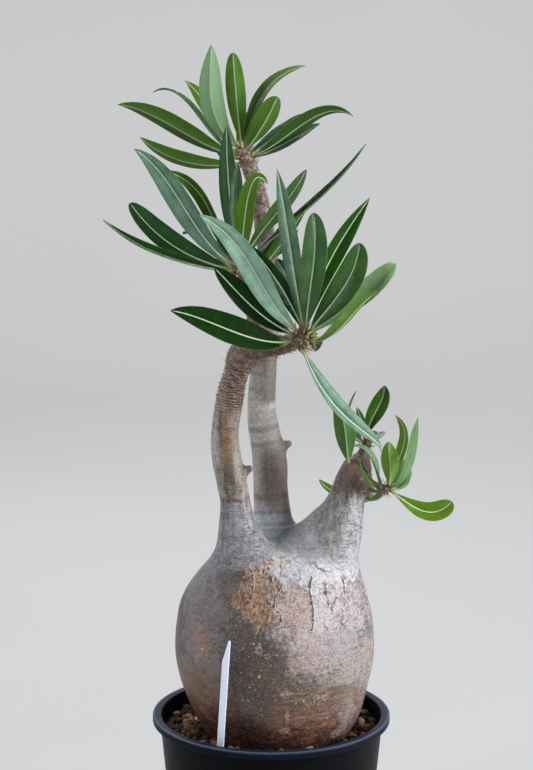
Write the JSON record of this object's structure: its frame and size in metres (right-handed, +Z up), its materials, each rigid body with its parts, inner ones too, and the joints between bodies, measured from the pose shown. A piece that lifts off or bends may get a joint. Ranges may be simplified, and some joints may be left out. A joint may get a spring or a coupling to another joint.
{
  "type": "potted pachypodium",
  "caption": "Potted bottle-shaped succulent with a swollen grey stem, branches carrying heads of long leaves, gritty soil, a round nursery pot and a plant label.",
  "frame": {"origin": "centre of the flat pad in the middle of the pot's underside, on the surface that the pot stands on", "axes": "+Z up along the pot's axis, -Y towards the plant's front with the label, +X towards the short branch on the right"},
  "size_m": [0.2131, 0.15, 0.5451],
  "materials": {
    "leaf": "satin",
    "young_leaf": "satin",
    "bark": "matte",
    "soil_mix": "matte",
    "pot_plastic": "satin",
    "label_plastic": "satin"
  },
  "bodies": {
    "root": {"front_leaf_01": "leaf", "front_leaf_02": "leaf", "front_leaf_03": "leaf", "front_leaf_04": "leaf", "front_leaf_05": "leaf", "front_leaf_06": "leaf", "front_leaf_07": "leaf", "front_leaf_08": "leaf", "front_leaf_09": "leaf", "front_leaf_10": "leaf", "front_leaf_11": "leaf", "front_leaf_12": "leaf", "front_leaf_13": "leaf", "label": "label_plastic", "low_leaf_01": "young_leaf", "low_leaf_02": "young_leaf", "low_leaf_03": "young_leaf", "low_leaf_04": "young_leaf", "low_leaf_05": "young_leaf", "low_leaf_06": "young_leaf", "low_leaf_07": "young_leaf", "low_leaf_08": "young_leaf", "low_leaf_09": "young_leaf", "plant": "bark", "pot": "pot_plastic", "rear_leaf_01": "leaf", "rear_leaf_02": "leaf", "rear_leaf_03": "leaf", "rear_leaf_04": "leaf", "rear_leaf_05": "leaf", "rear_leaf_06": "leaf", "rear_leaf_07": "leaf", "rear_leaf_08": "leaf", "rear_leaf_09": "leaf", "rear_leaf_10": "leaf", "rear_leaf_11": "leaf", "rear_leaf_12": "leaf", "right_leaf_01": "young_leaf", "right_leaf_02": "young_leaf", "right_leaf_03": "young_leaf", "right_leaf_04": "young_leaf", "shoulder_leaf_01": "young_leaf", "shoulder_leaf_02": "young_leaf", "soil": "soil_mix", "top_leaf_01": "young_leaf", "top_leaf_02": "young_leaf", "top_leaf_03": "young_leaf", "top_leaf_04": "young_leaf", "top_leaf_05": "young_leaf", "top_leaf_06": "young_leaf", "top_leaf_07": "young_leaf", "top_leaf_08": "young_leaf", "top_leaf_09": "young_leaf", "top_leaf_10": "young_leaf", "top_leaf_11": "young_leaf", "top_leaf_12": "young_leaf", "top_leaf_13": "young_leaf"}
  },
  "joints": []
}
